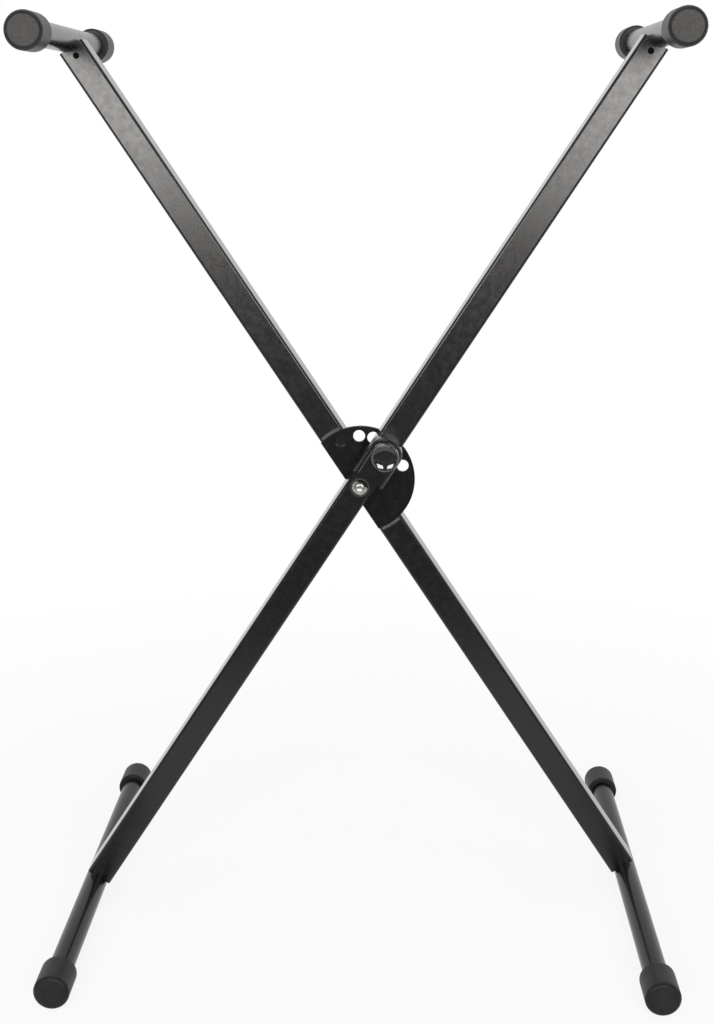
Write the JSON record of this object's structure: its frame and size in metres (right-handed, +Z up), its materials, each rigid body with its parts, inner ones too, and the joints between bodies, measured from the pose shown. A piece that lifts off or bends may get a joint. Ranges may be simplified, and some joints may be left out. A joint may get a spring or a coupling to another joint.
{
  "type": "folding keyboard stand",
  "caption": "Folding X stand for a keyboard: crossed steel arms on a pivot bolt, a spring-loaded pull knob that locks them in a drilled plate, and cross tubes with rubber caps.",
  "frame": {"origin": "on the floor, directly below the pivot, midway between the two arms front to back", "axes": "+Z up, +X to the right seen from the pull knob's side, +Y away from the pull knob, along the cross tubes and the pivot bolt"},
  "size_m": [0.5654, 0.482, 0.8437],
  "materials": {
    "black_powder_coat": "satin to gloss black powder coat",
    "cap_rubber": "moulded black rubber, matt",
    "zinc_steel": "bright zinc plate",
    "black_fastener": "black oxide",
    "black_plastic": "moulded black nylon",
    "knob_plastic": "glossy black",
    "brass": "turned",
    "nylon": "natural nylon",
    "bush_steel": "turned steel, lightly oiled",
    "pin_steel": "ground steel, zinc plated",
    "spring_steel": "drawn wire"
  },
  "bodies": {
    "rear_frame": {"rear_arm": "black_powder_coat", "locking_plate": "black_powder_coat", "plate_weld_upper": "black_powder_coat", "plate_weld_lower": "black_powder_coat", "rear_pivot_bush": "bush_steel", "pivot_bolt": "zinc_steel", "pivot_washer_front": "zinc_steel", "pivot_spacer": "zinc_steel", "pivot_washer_rear": "zinc_steel", "pivot_nut": "zinc_steel", "pivot_nut_ring": "nylon", "top_tube_left": "black_powder_coat", "top_cap_left_front": "cap_rubber", "top_cap_left_rear": "cap_rubber", "top_plug_left": "black_plastic", "top_saddle_left": "black_plastic", "top_bolt_left": "black_fastener", "base_tube_right": "black_powder_coat", "base_cap_right_front": "cap_rubber", "base_cap_right_rear": "cap_rubber", "base_plug_right": "black_plastic", "base_saddle_right": "black_plastic", "base_bolt_right": "black_fastener"},
    "front_frame": {"front_arm": "black_powder_coat", "front_pivot_bush": "bush_steel", "lock_bracket": "black_powder_coat", "lock_hood": "black_powder_coat", "plunger_bush": "bush_steel", "plunger_spring": "spring_steel", "top_tube_right": "black_powder_coat", "top_cap_right_front": "cap_rubber", "top_cap_right_rear": "cap_rubber", "top_plug_right": "black_plastic", "top_saddle_right": "black_plastic", "top_bolt_right": "black_fastener", "base_tube_left": "black_powder_coat", "base_cap_left_front": "cap_rubber", "base_cap_left_rear": "cap_rubber", "base_plug_left": "black_plastic", "base_saddle_left": "black_plastic", "base_bolt_left": "black_fastener"},
    "plunger": {"lock_pin": "pin_steel", "pull_knob": "knob_plastic", "knob_insert": "brass"}
  },
  "joints": [
    {"name": "fold", "type": "hinge", "parent": "rear_frame", "child": "front_frame", "pos_m": [0, 0, 0.4235], "axis": [0, -1, 0], "range_deg": [-36.8, 62]},
    {"name": "lock_pull", "type": "slide", "parent": "front_frame", "child": "plunger", "axis": [0, -1, 0], "range_m": [-0.006, 0], "stiffness_N_per_m": 850, "springref_m": -0.01, "deforming": ["plunger_spring"]}
  ]
}
